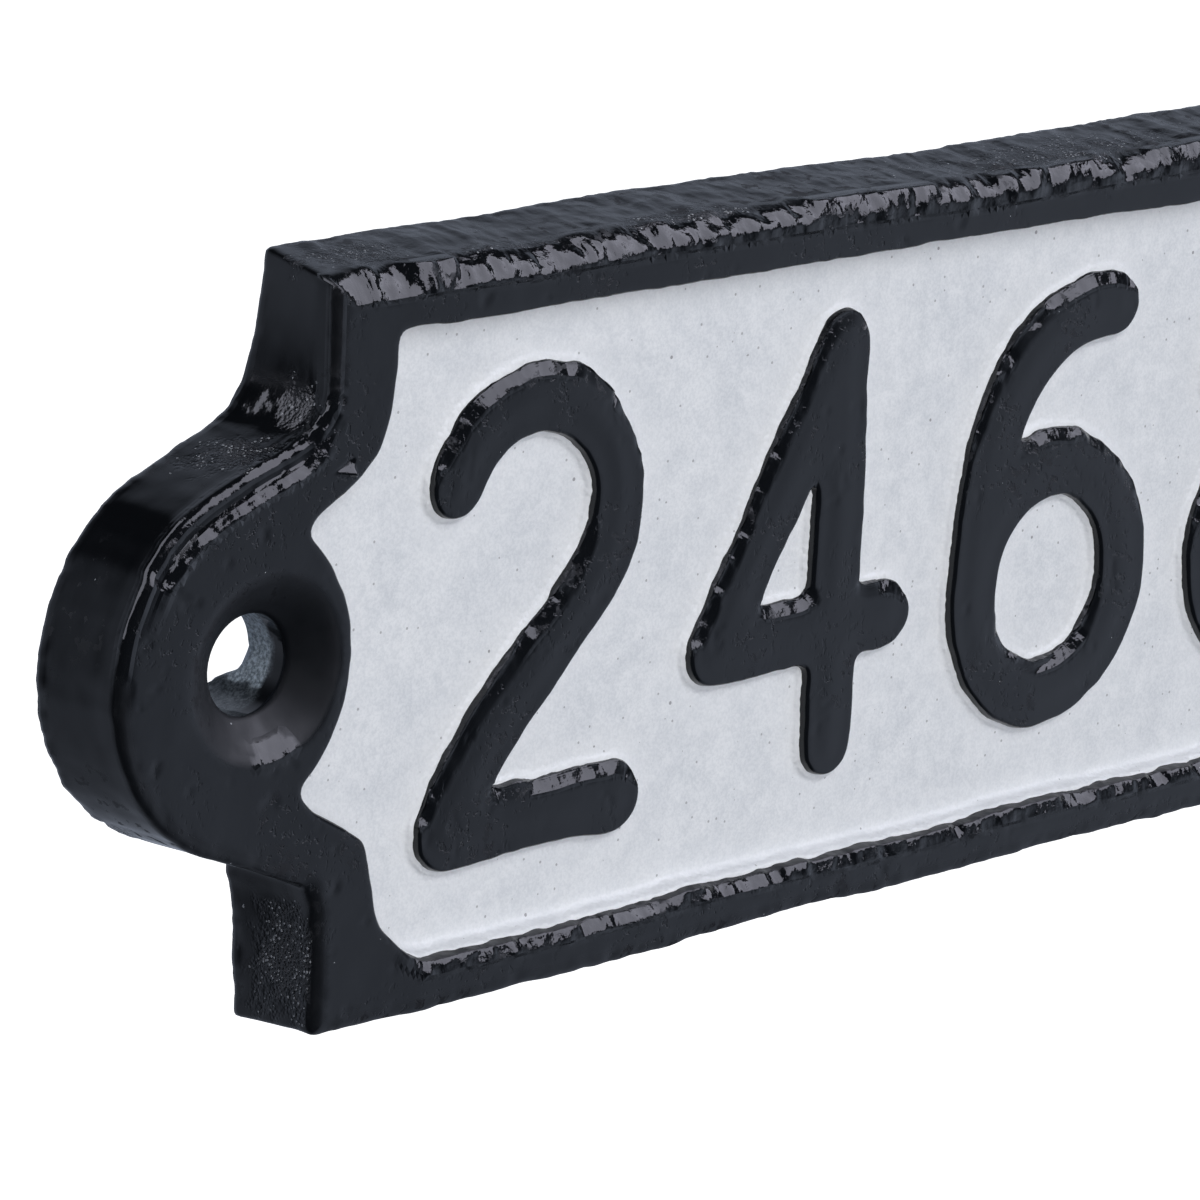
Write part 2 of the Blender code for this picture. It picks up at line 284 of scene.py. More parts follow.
class NodeSheet:
    # adds nodes to a tree and joins them in one call each
    def __init__(self, tree):
        self.tree = tree

    def join(self, node, inputs):
        for key, value in inputs.items():
            if isinstance(value, bpy.types.NodeSocket):
                self.tree.links.new(value, node.inputs[key])
            else:
                node.inputs[key].default_value = value
        return node

    def add(self, kind, inputs=None, **settings):
        node = self.tree.nodes.new("ShaderNode" + kind)
        for key, value in settings.items():
            setattr(node, key, value)
        return self.join(node, inputs or {})

    def maths(self, operation, *values):
        return self.add("Math", dict(enumerate(values)), operation=operation).outputs[0]

    def times(self, first, second):
        return self.maths("MULTIPLY", first, second)

    def scaled(self, value, factor, added):
        return self.maths("MULTIPLY_ADD", value, factor, added)

    def vector(self, operation, *values):
        return self.add("VectorMath", dict(enumerate(values)), operation=operation).outputs

    def between(self, value, low, high, newLow=0.0, newHigh=1.0):
        inputs = {"Value": value, "From Min": low, "From Max": high, "To Min": newLow, "To Max": newHigh}
        return self.add("MapRange", inputs, interpolation_type="SMOOTHSTEP").outputs["Result"]

    def noise(self, where, scale, detail=2.0, roughness=0.5):
        inputs = {"Vector": where, "Scale": scale, "Detail": detail, "Roughness": roughness}
        return self.add("TexNoise", inputs).outputs["Fac"]

    def mask(self, name):
        return self.add("Attribute", attribute_name=name).outputs["Fac"]

    def blend(self, share, first, second):
        return self.add("Mix", {0: share, 6: first, 7: second}, data_type="RGBA").outputs[2]

    def group(self, name, where, **inputs):
        node = self.add("Group", {"Vector": where, **inputs}, node_tree=groups[name])
        return node.outputs[0] if len(node.outputs) == 1 else node.outputs

    def bump(self, height, distance, normal=None):
        inputs = {"Height": height, "Distance": distance, "Strength": 1.0}
        if normal is not None:
            inputs["Normal"] = normal
        return self.add("Bump", inputs).outputs["Normal"]


effects = {
    "fineSand": (9000.0, 3.0, 0.7),  # scale, detail and roughness
    "fineSandHeight": 0.5,  # beside the grains'
    "glintClusters": (700.0, (0.40, 0.55)),
    "glintSize": (1.0, 0.25, 0.20),  # a factor, what chance adds, and the least
    "speckSize": (0.7, 0.3),
    "dimpleHeight": 0.25,  # beside the swell's
    "smudgeEdge": (0.56, 0.64),
    "smudgeClusters": (130.0, (0.44, 0.60)),
}


groups = {}


def newGroup(name, values, outputs):
    group = groups[name] = bpy.data.node_groups.new(name, "ShaderNodeTree")
    group.interface.new_socket("Vector", in_out="INPUT", socket_type="NodeSocketVector")
    for socketName, value in values.items():
        socket = group.interface.new_socket(socketName, in_out="INPUT", socket_type="NodeSocketFloat")
        socket.default_value = value
    for socketName in outputs:
        group.interface.new_socket(socketName, in_out="OUTPUT", socket_type="NodeSocketFloat")
    given, result = group.nodes.new("NodeGroupInput"), group.nodes.new("NodeGroupOutput")
    return NodeSheet(group), given.outputs, result


def cellDots(sheet, given, scale, size):
    # distance from each cell's middle, and a dot in a share of the cells
    cells = sheet.add("TexVoronoi", {"Vector": given["Vector"], "Scale": scale}).outputs
    chance = sheet.add("SeparateColor", {"Color": cells["Color"]}).outputs
    chosen = sheet.maths("LESS_THAN", chance[0], given["Share"])
    factor, more, least = size
    radius = sheet.times(factor, sheet.scaled(chance[1], more, least))
    return cells["Distance"], sheet.times(chosen, sheet.maths("LESS_THAN", cells["Distance"], radius))


def clustered(sheet, where, mask, clusters):
    scale, edge = clusters
    return sheet.times(mask, sheet.between(sheet.noise(where, scale), *edge))


def sandGrainGroup():
    # sand cast into the iron, and a mask of the grains that are given a painted glint
    sheet, given, result = newGroup("sandGrain", {"Grain": 3600.0, "Share": 0.3}, ["Height", "Glint"])
    fromMiddle, dots = cellDots(sheet, given, given["Grain"], effects["glintSize"])
    fine = sheet.noise(given["Vector"], *effects["fineSand"])
    height = sheet.scaled(fine, effects["fineSandHeight"], sheet.times(fromMiddle, -1.0))
    glint = clustered(sheet, given["Vector"], dots, effects["glintClusters"])
    sheet.join(result, {"Height": height, "Glint": glint})


def speckGroup():
    # sparse dots: dust and pinholes, and on the black paint also painted glints
    values = {"Spread": 500.0, "Share": 0.15, "Size": 0.09}
    sheet, given, result = newGroup("specks", values, ["Mask"])
    dots = cellDots(sheet, given, given["Spread"], (given["Size"], *effects["speckSize"]))[1]
    sheet.join(result, {"Mask": dots})


def paintFlowGroup():
    # settled paint: slow swells with finer dimples
    sheet, given, result = newGroup("paintFlow", {"Swell": 420.0, "Dimple": 1500.0}, ["Height"])
    swell = sheet.noise(given["Vector"], given["Swell"], 1.0, 0.4)
    dimple = sheet.noise(given["Vector"], given["Dimple"])
    sheet.join(result, {"Height": sheet.scaled(dimple, effects["dimpleHeight"], swell)})


def smudgeGroup():
    # pits and dull smudges in loose groups
    sheet, given, result = newGroup("smudges", {"Scale": 800.0}, ["Mask"])
    pits = sheet.between(sheet.noise(given["Vector"], given["Scale"], 3.0, 0.6), *effects["smudgeEdge"])
    sheet.join(result, {"Mask": clustered(sheet, given["Vector"], pits, effects["smudgeClusters"])})


sandGrainGroup()
speckGroup()
paintFlowGroup()
smudgeGroup()


def startMaterial(name):
    material = bpy.data.materials.new(name)
    material.use_nodes = True
    sheet = NodeSheet(material.node_tree)
    shader = material.node_tree.nodes["Principled BSDF"]
    where = sheet.add("TexCoord").outputs["Object"]
    return material, sheet, shader, where


blackPaint = {
    "colour": (0.0036, 0.0044, 0.0060),
    "sandColour": (0.0050, 0.0060, 0.0080, 1.0),
    # the colour of the painted glints on sand grains
    "glintColour": (0.34, 0.36, 0.40, 1.0),
    # light specks, partly dust and partly painted glints
    "dustAndGlintColour": (0.42, 0.45, 0.50, 1.0),
    "ironColour": (0.54, 0.63, 0.72, 1.0),
    "ironShade": (0.14, 0.175, 0.21, 1.0),
    "ironGrain": (3800.0, 3.0, 0.7),  # scale, detail and roughness
    "ironEdge": (0.35, 0.68),
    "grain": 4300.0,
    "glintShare": 0.6,
    "dustAndGlints": {"Spread": 1000.0, "Share": 0.09, "Size": 0.075},
    "dustAndGlintStrength": 0.75,
    "gloss": 0.085,
    "clouds": 260.0,  # where the gloss is this much better and worse
    "cloudGloss": (0.8, 1.35),
    # what each mask adds to the roughness
    "duller": {"sandPatch": 0.05, "groundFace": 0.16, "bareIron": 0.40, "dullPaint": 0.40},
    "smudges": 850.0,
    "smudgeRoughness": 0.38,
    "flow": {"Swell": 420.0, "Dimple": 1500.0},
    "swellDepth": 0.000012,
    "pits": 1700.0,
    "pitDepth": 0.000026,
    "edge": (620.0, 1.0, 0.00032),  # scale, detail and depth
    "teeth": (1100.0, 1.0, 0.00010),
    "edgeGrain": (2600.0, 2.0, 0.00004),
    "teethStretch": (1.0, 0.35, 0.35),
    "streaks": (3600.0, 3.0, 0.65),
    "streakSlant": {"Rotation": (0, 0, 0.42), "Scale": (0.10, 1.0, 1.0)},
    "streakDepth": 0.000010,
    "sandDepth": 0.00012,
    "ironSand": 0.35,
}


def blackGlossMaterial(name, tone=1.0):
    # gloss paint, with sand and its painted glints, ground streaks and bare iron where the masks say, and
    # light specks that are partly dust, partly painted glints
    look = blackPaint
    material, sheet, shader, where = startMaterial(name)
    masks = {maskName: sheet.mask(maskName) for maskName in look["duller"]}
    sand, iron, ground = masks["sandPatch"], masks["bareIron"], masks["groundFace"]
    share = sheet.times(sand, look["glintShare"])
    grains = sheet.group("sandGrain", where, Grain=look["grain"], Share=share)
    base = tuple(c * tone for c in look["colour"]) + (1.0,)
    tint = sheet.blend(sand, base, look["sandColour"])
    # painted glints: sand grains lightened to stand in for the light they catch
    tint = sheet.blend(grains["Glint"], tint, look["glintColour"])
    # light specks: partly real dust, partly painted glints
    dustAndGlints = sheet.group("specks", where, **look["dustAndGlints"])
    tint = sheet.blend(sheet.times(dustAndGlints, look["dustAndGlintStrength"]), tint, look["dustAndGlintColour"])
    ironGrain = sheet.between(sheet.noise(where, *look["ironGrain"]), *look["ironEdge"])
    ironTint = sheet.blend(ironGrain, look["ironShade"], look["ironColour"])
    shader.inputs["Base Color"].default_value = base

    smudge = sheet.group("smudges", where, Scale=look["smudges"])
    better, worse = look["cloudGloss"]
    clouds = sheet.noise(where, look["clouds"])
    rough = sheet.between(clouds, 0.3, 0.7, look["gloss"] * better, look["gloss"] * worse)
    for maskName, added in look["duller"].items():
        rough = sheet.scaled(masks[maskName], added, rough)
    rough = sheet.scaled(smudge, look["smudgeRoughness"], rough)

    normal = sheet.bump(sheet.group("paintFlow", where, **look["flow"]), look["swellDepth"])
    pits = sheet.group("smudges", where, Scale=look["pits"])
    pits = sheet.times(pits, sheet.mask("frontFace"))
    normal = sheet.bump(sheet.times(pits, -1.0), look["pitDepth"], normal)
    edge = sheet.mask("roughEdge")
    across = sheet.add("Mapping", {"Vector": where, "Scale": look["teethStretch"]}).outputs[0]
    for along, size in ((where, "edge"), (across, "teeth"), (where, "edgeGrain")):
        scale, detail, depth = look[size]
        normal = sheet.bump(sheet.times(sheet.noise(along, scale, detail), edge), depth, normal)
    slant = sheet.add("Mapping", {"Vector": where, **look["streakSlant"]}).outputs[0]
    streaks = sheet.noise(slant, *look["streaks"])
    normal = sheet.bump(sheet.times(streaks, ground), look["streakDepth"], normal)
    grainy = sheet.maths("MAXIMUM", sand, sheet.times(iron, look["ironSand"]))
    normal = sheet.bump(sheet.times(grains["Height"], grainy), look["sandDepth"], normal)
    colour = sheet.blend(iron, tint, ironTint)
    sheet.join(shader, {"Base Color": colour, "Roughness": rough, "Normal": normal})
    return material


whitePaint = {
    "colour": (0.80, 0.825, 0.87, 1.0),
    "shade": (0.60, 0.635, 0.69, 1.0),
    "speckColour": (0.15, 0.15, 0.17, 1.0),
    "stainColour": (0.30, 0.24, 0.17, 1.0),
    "clouds": [(230.0, 3.0, 0.28), (950.0, 2.0, 0.26), (5200.0, 2.0, 0.42)],  # scale, detail, weight
    "cloudEdge": (0.36, 0.66),
    # painted light: near an edge the mottled shade is taken off, so the paint is painted lighter there
    "edgePaintedLight": -0.65,  # what an edge adds to the shade's factor
    "specks": [  # strength, colour and the group's values
        (0.55, "speckColour", {"Spread": 1250.0, "Share": 0.30, "Size": 0.13}),
        (0.60, "stainColour", {"Spread": 210.0, "Share": 0.08, "Size": 0.045}),
        (0.70, "speckColour", {"Spread": 700.0, "Share": 0.16, "Size": 0.095}),
    ],
    "roughness": 0.42,
    "cloudRoughness": (-0.06, 0.10),
    "flow": {"Swell": 300.0, "Dimple": 1300.0},
    "swellDepth": 0.00005,
    "grain": 2600.0,
    "grainShares": (0.8, 0.2),  # near an edge, and everywhere
    "grainDepth": 0.00006,
}


def whiteSatinMaterial(name):
    # thin satin paint: cloudy, painted lighter near edges, with pinholes, dust and sandy edges
    look = whitePaint
    material, sheet, shader, where = startMaterial(name)
    edge = sheet.mask("nearEdge")
    mottleAndEdgeLight, clouds = 0.0, []
    for scale, detail, weight in look["clouds"]:
        clouds.append(sheet.between(sheet.noise(where, scale, detail, 0.6), *look["cloudEdge"]))
        mottleAndEdgeLight = sheet.scaled(clouds[-1], weight, mottleAndEdgeLight)
    # painted light: the cloudy shade fades near walls and figures, so the paint there is painted lighter
    mottleAndEdgeLight = sheet.times(mottleAndEdgeLight, sheet.scaled(edge, look["edgePaintedLight"], 1.0))
    tint = sheet.blend(mottleAndEdgeLight, look["colour"], look["shade"])
    for strength, colour, values in look["specks"]:
        dots = sheet.group("specks", where, **values)
        tint = sheet.blend(sheet.times(dots, strength), tint, look[colour])
    least, most = look["cloudRoughness"]
    rough = sheet.between(clouds[0], 0.0, 1.0, look["roughness"] + least, look["roughness"] + most)
    normal = sheet.bump(sheet.group("paintFlow", where, **look["flow"]), look["swellDepth"])
    grains = sheet.group("sandGrain", where, Grain=look["grain"])
    sandy = sheet.scaled(edge, *look["grainShares"])
    normal = sheet.bump(sheet.times(grains["Height"], sandy), look["grainDepth"], normal)
    sheet.join(shader, {"Base Color": tint, "Roughness": rough, "Normal": normal})
    return material


# The casting: border, lugs and back in one skin

casting = {
    "front": 7.7,
    "outlineStep": 0.27,
    "cornerEase": 0.35,
    "outlineWaves": [(0.16, 14.0), (0.07, 3.2), (0.06, 1.1)],
    "recessWaves": [(0.13, 11.0), (0.07, 2.6), (0.04, 1.0)],
    "fieldGap": 0.3,  # from the field's node to the recess
    "recessFloor": 5.15,  # hidden under the white field
    "wallFoot": 5.6,
    "wallRun": 0.20,
    "innerShoulder": 0.35,  # width and drop of the recess's rounded edge
    "innerShoulderUp": 0.55,  # how much wider it is along the bottom
    "lugLean": 0.28,
    "cornerRound": 0.5,  # how far the two bottom corners are eased
    "topEase": 1.6,  # and the top's waves, which were ground off
    "topLean": 0.75,  # how much lower the top is at the front than at the back
    "bottomLean": 0.6,
    "bodyEnd": 57.7,  # where the body's ends stand at the front
    "endHeights": (15.0, 17.0),  # where the ends start
    "endReach": (55.2, 57.0),
    "bottomCorner": (57.2, 25.0),
    "sideLean": 0.7,  # how much wider they are at the back, next to the lugs
    "leanRun": (4.0, 9.0),  # heights over which that fades, above and below
    "chamfer": (1.9, 1.9),  # width and drop of the top's bevel
    "topBand": (19.5, 21.5),  # where it starts, and how far up its edge faces
    "topWay": (0.2, 0.6),
    "lugBand": (57.0, 60.0),  # where a lug's rim starts, and half its height
    "lugHeight": 17.5,
    "sillBand": (17.5, 19.5),  # where the recess's broken bevel starts, and how it faces
    "sillWay": (0.75, 0.97),
    "bodyEdge": (0.95, 0.65),
    "lugEdge": 0.62,
    "ledge": (0.80, 0.60, 0.13),  # the lug's sunken rim: width, more on top, slope
    "ledgeStep": (2.05, 0.60, 0.42),  # the step inside it: reach, width, height
    "stepWay": (0.42, 0.75),  # how far up the edge faces there
    "rings": [0.05, 0.12, 0.22, 0.35, 0.6, 0.9, 1.2, 1.5, 1.7, 1.9, 2.1, 2.3, 2.5],
    "wallRings": (-0.6, -0.12, -0.06, 0.0, 0.12, 0.20),
    "rounding": [0.12, 0.24, 0.40, 0.58, 0.78, 1.0],
    "countersink": (3.3, 5.9, 1.9),  # bore radius, rim radius, depth
    "rimEase": 0.55,
    "coneSpot": (0.19, -0.98),  # the way to the glossy part of the rim
    "sideRow": 0.33,
    "backRound": 0.35,
    "breakOut": 2.2,  # depth of the bore's ragged back edge
    "breakOutSlope": 0.9,
    "backRow": 0.85,
    "cove": (58.0, 15.0),  # where a lug meets the body
    "coveSteps": 1.1,  # height of the steps there
    "bareDepth": 4.5,  # the bore is bare iron behind this depth
    "bareHeight": -2.2,  # mostly above this height
}

castingLumps = {
    # height, length, seed, layers, and what they follow if not the place itself
    "skin": [(0.050, 9.0, 3, 1), (0.011, 2.4, 5, 2)],
    "bevel": [(0.26, 2.6, 7, 2, "bevelRun"), (0.14, 1.1, 8, 2, "edge")],
    "step": [(0.13, 1.8, 9, 2), (0.07, 1.0, 10, 2, "edge")],
    "rim": [(0.035, 1.2, 24, 2)],
    "softEdge": [(0.05, 1.1, 26, 2)],
    "sill": [(0.13, 1.9, 11, 2, "sillRun"), (0.10, 1.0, 12, 2, "sillEdge")],
    "side": [(0.030, 2.2, 9, 2)],
    "sand": [(0.050, 0.7, 13, 2)],
    "cone": [(0.085, 2.0, 14, 3)],
    "back": [(0.10, 5.0, 15, 2), (0.05, 1.0, 17, 2)],
    "backEdge": [(0.10, 1.1, 19, 2), (0.08, 0.55, 20, 1)],
}

# the recess's left end, below and above the lug's ring
recessLines = [
    [(-59.0, -8.6), (-58.1, -9.6), (-56.05, -10.85), (-53.6, -12.35), (-52.95, -13.95), (-52.5, -15.6),
     (-52.1, -17.4), (-51.65, -18.4), (-50.35, -19.65), (-48.9, -20.8), (-47.6, -21.4), (-46.4, -21.5)],
    [(-59.0, 8.4), (-58.4, 9.05), (-56.75, 9.95), (-55.05, 10.85), (-53.4, 12.35), (-52.6, 13.95),
     (-52.2, 15.8), (-52.0, 18.0), (-52.0, 19.5), (-51.75, 20.1), (-50.6, 20.15), (-47.0, 20.0)],
]


def followLine(loop, line):
    # puts a line and its mirror image in place of what lies beside them
    for side in (1, -1):
        own = line * [side, 1]
        chosen = (loop[:, 0] * side < line[-1, 0]) & (loop[:, 1] * np.sign(line[0, 1]) > abs(line[0, 1]))
        first = int(np.flatnonzero(chosen & ~np.roll(chosen, 1))[0])
        loop = np.roll(loop, -first, axis=0)
        if np.linalg.norm(loop[0] - own[0]) > np.linalg.norm(loop[0] - own[-1]):
            own = own[::-1]
        loop = np.vstack([own, loop[chosen.sum():]])
    return loop


def quarterRound(distance, width, drop):
    share = np.clip(1 - distance / width, 0, 1)
    return drop * (1 - np.sqrt(np.maximum(1 - share * share, 0)))


def flatRound(distance, width, drop, flatness):
    # an edge between a rounding and a flat bevel
    flat = drop * np.clip(1 - distance / width, 0, 1)
    return flatness * flat + (1 - flatness) * quarterRound(distance, width, drop)


def edgeShares(places, way):
    # shares of the top's bevel, a lug's rim and the plain edge
    look = casting
    top = ramp(places[:, 1], *look["topBand"]) * ramp(way[:, 1], *look["topWay"])
    lug = ramp(np.abs(places[:, 0]), *look["lugBand"]) * (1 - top)
    lug *= np.abs(places[:, 1]) < look["lugHeight"]
    return top, lug, 1 - top - lug


def edgeReach(places, way):
    top, lug, plain = edgeShares(places, way)
    return top * casting["chamfer"][0] + lug * casting["ledgeStep"][0] + plain * casting["bodyEdge"][0]


def edgeLoss(places, distance, way):
    # how far the front falls away at the outer outline
    look = casting
    top, lug, plain = edgeShares(places, way)
    wide, drop = look["chamfer"]
    onward = ramp(places[:, 0], -48.0, -12.0)
    gap = lumps(placed(places * [1, 0]), 5.5, 31) + 0.12 * onward
    wide = wide * (1 - 0.38 * onward)
    bevel = flatRound(distance, wide, drop * (1 - 0.6 * ramp(gap, -0.02, 0.14)), 0.5)
    wide, wider, slope = look["ledge"]
    wide = wide * (1 - 0.85 * np.maximum(-way[:, 1], 0)) + wider * ramp(way[:, 1], 0.0, 0.6)
    reach, stepWide, high = look["ledgeStep"]
    rim = look["lugEdge"] * (0.62 + 0.38 * ramp(way[:, 1], -0.3, 0.3))
    rim = quarterRound(distance, rim, rim)
    rim += slope * np.log1p(np.exp(np.clip((wide - distance) * 6, -30, 30))) / 6
    rim += high * ramp(way[:, 1], *look["stepWay"]) * ramp(reach - distance, 0.0, stepWide)
    return top * bevel + lug * rim + plain * quarterRound(distance, *look["bodyEdge"])


def innerShoulder(recessWay, places):
    # width and drop, and the share of the bottom's broken bevel
    look = casting
    low = ramp(-recessWay[:, 1], *look["sillWay"]) * ramp(-places[:, 1], *look["sillBand"])
    wide = look["innerShoulder"] + look["innerShoulderUp"] * low
    gap = ramp(lumps(placed(places * [1, 0]), 4.0, 33), -0.05, 0.12)
    return wide, wide * (1 - 0.65 * low * gap), low


def boreDistance(places, bores):
    # distance to the nearest bore's middle, and that middle
    middles = np.array([bore.mean(axis=0) for bore in bores])
    away = lengths(places[:, None] - middles)
    return away.min(axis=1), middles[away.argmin(axis=1)]


def frontDepth(places, outer, recess, bores):
    look = casting
    fromOuter, way, _ = within(places, [outer], True)
    lost = edgeLoss(places, np.maximum(fromOuter, 0), way)
    fromRecess, way, _ = within(places, [recess], True)
    fromRecess = -fromRecess
    wide, drop, low = innerShoulder(way, places)
    shoulderFoot = look["front"] - drop
    share = np.clip(fromRecess / look["wallRun"], -0.5, 1)
    wall = look["wallFoot"] + (shoulderFoot - look["wallFoot"]) * np.maximum(share, 0)
    wall += (look["wallFoot"] - look["recessFloor"]) * np.minimum(share, 0) * 2
    curve = look["front"] - flatRound(np.maximum(fromRecess - look["wallRun"], 0), wide, drop, 0.6 * low)
    depth = np.where(fromRecess < look["wallRun"], wall, curve) - lost
    boreRadius, rimRadius, sunk = look["countersink"]
    radius = boreDistance(places, bores)[0]
    cone = np.clip((rimRadius - radius) / (rimRadius - boreRadius), 0, 1) * sunk
    ease = look["rimEase"]
    eased = (rimRadius + ease - radius) ** 2 / (4 * ease) * sunk / (rimRadius - boreRadius)
    return depth - np.where(np.abs(radius - rimRadius) < ease, eased, cone)


def leanShift(loop, depth):
    # the sides lean out to the back, whose edge is rounded
    look = casting
    ways = easedWays(loop)
    across, height = np.abs(loop[:, 0]), loop[:, 1]
    fromFront = np.clip(5.8 - depth, 0, 5.8) / 5.8
    up = look["topLean"] * ramp(height, 21.0, 23.5) - look["bottomLean"] * ramp(-height, 21.0, 23.5)
    faded = 1 - (np.abs(height) - 16.0) / np.where(height > 0, *look["leanRun"])
    end = ramp(np.abs(height), 13.0, 16.0) * ramp(across, 55.5, 57.0) * np.clip(faded, -1, 1)
    cove = np.exp(-((across - 58.6) ** 2 + (height - 14.0) ** 2) / 14.0)
    lean = look["sideLean"] * cove + look["lugLean"] * ramp(across, 59.5, 64.0)
    edge = quarterRound(np.maximum(depth, 0), look["backRound"] * 1.6, look["backRound"])
    straight = np.column_stack([look["sideLean"] * end * np.sign(loop[:, 0]), up]) * fromFront[:, None]
    return ways * (lean * fromFront - edge)[:, None] + straight


def boreShift(loop, depth):
    # the bore is broken out at the back, but for its floor
    look = casting
    broken = 1 - ramp(loop[:, 1].mean() - loop[:, 1], 1.2, 2.8)
    edge = look["breakOut"] * broken + 0.45 * lumps(placed(loop), 1.7, 71, 3)
    return -easedWays(loop) * (look["breakOutSlope"] * np.maximum(edge - depth, 0))[:, None]


sandPatches = [
    # middle (x, depth, z), half size (x, depth, z), strength
    ((-53.5, 3.8, 24.8), (4.6, 2.0, 1.6), 0.9),
    ((-62.0, 4.0, 12.4), (3.2, 2.9, 1.8), 1.0),
    ((-58.5, 5.3, 15.8), (1.4, 1.8, 2.4), 0.45),
    ((-57.6, 5.2, -20.8), (1.8, 3.0, 4.6), 0.9),
    ((-66.5, 1.2, -11.0), (4.2, 1.5, 2.0), 0.35),
    ((-42.0, 6.3, 24.4), (3.8, 0.9, 1.4), 0.9),
    ((-25.0, 6.0, 24.4), (7.0, 1.2, 1.4), 0.7),
    ((14.0, 4.5, 24.6), (12.0, 2.5, 1.6), 0.7),
    ((52.0, 3.8, 24.8), (6.0, 2.2, 1.6), 0.8),
    ((60.6, 4.0, 12.8), (2.6, 2.6, 2.2), 1.0),
    ((58.4, 3.4, -19.5), (1.8, 2.9, 4.6), 0.5),
    ((20.0, 3.0, -25.0), (16.0, 2.6, 1.3), 0.5),
    ((-30.0, 2.6, -25.0), (12.0, 2.2, 1.3), 0.5),
]


def patchMask(places, patches, seed):
    edge = 0.65 * lumps(places, 2.6, seed, 3) + 0.45 * lumps(places, 0.6, seed + 3, 1)
    mask = np.zeros(len(places))
    for middle, size, strength in patches:
        reach = lengths((places - middle) / size)
        mask = np.maximum(mask, strength * ramp(1.25 - reach + edge, 0.0, 0.9))
    return mask


fleck = {  # a tilted facet that catches the light
    "at": (-56.35, 12.0),
    "corners": [(-57.75, 11.85), (-55.5, 11.35), (-55.75, 12.75)],
    "reach": 1.4,
    "lift": 0.08,
    "tilt": (0.16, -0.72),
}


def castingOutline(loop):
    # with waves, longer ends, and eased bottom corners and top
    look = casting
    step = look["outlineStep"]
    outer = wavyLoop(evenLoop(loop, step, look["cornerEase"]), look["outlineWaves"], 11)
    outer[:, 1] -= look["topLean"] * ramp(outer[:, 1], 21.0, 24.0)
    atEnd = ramp(np.abs(outer[:, 1]), *look["endHeights"]) * ramp(np.abs(outer[:, 0]), *look["endReach"])
    outer[:, 0] += np.sign(outer[:, 0]) * (look["bodyEnd"] - np.abs(outer[:, 0])) * atEnd
    outer = evenLoop(outer, step, 0.2)
    rounded = easedAlong(outer, step, look["cornerRound"])
    ground = easedAlong(outer, step, look["topEase"])
    fromCorner = lengths(np.abs(outer) - look["bottomCorner"])
    atCorner = ramp(5.0 - fromCorner, 0.0, 3.0) * (outer[:, 1] < 0)
    outer = outer + (rounded - outer) * atCorner[:, None]
    atTop = ramp(outer[:, 1], 22.5, 23.5) * ramp(54.0 - np.abs(outer[:, 0]), 0.0, 3.0)
    return outer + (ground - outer) * atTop[:, None]


def castingPoints(loops, recess):
    # more points for the front, close together where it's rounded
    look = casting
    outer, *bores = loops
    extra = []
    for ring in ringsBeside(outer, look["rings"], [outer]):
        away, way, _ = within(ring, [outer], True)
        extra.append(ring[away < edgeReach(ring, way) + 0.2])
    wide = innerShoulder(outward(recess), recess)[0]
    offsets = [wide * 0 + offset for offset in look["wallRings"]]
    offsets += [look["wallRun"] + wide * share for share in look["rounding"]]
    extra += ringsBeside(recess, [-offset for offset in offsets], [recess])
    for bore in bores:
        extra += ringsBeside(bore, [0.3 * k for k in range(1, 11)], [bore])
    grid = hexPlaces(loops, look["outlineStep"] * 1.2)
    away, way, _ = within(grid, loops, True)
    clear = away > edgeReach(grid, way) + 0.3
    away, way, _ = within(grid, [recess], True)
    clear &= -away > look["wallRun"] + innerShoulder(way, grid)[0] + 0.15
    clear &= boreDistance(grid, bores)[0] > 6.45
    clear &= lengths(grid - fleck["at"]) >= fleck["reach"]
    extra.append(grid[clear])
    dense = hexPlaces([np.array(fleck["at"]) + [[-fleck["reach"]] * 2, [fleck["reach"]] * 2]], 0.14)
    extra.append(dense[lengths(dense - fleck["at"]) < fleck["reach"] - 0.1])
    sparse = hexPlaces(loops, 2.5)
    extra.append(sparse[within(sparse, [recess]) > 1.5])
    return extra


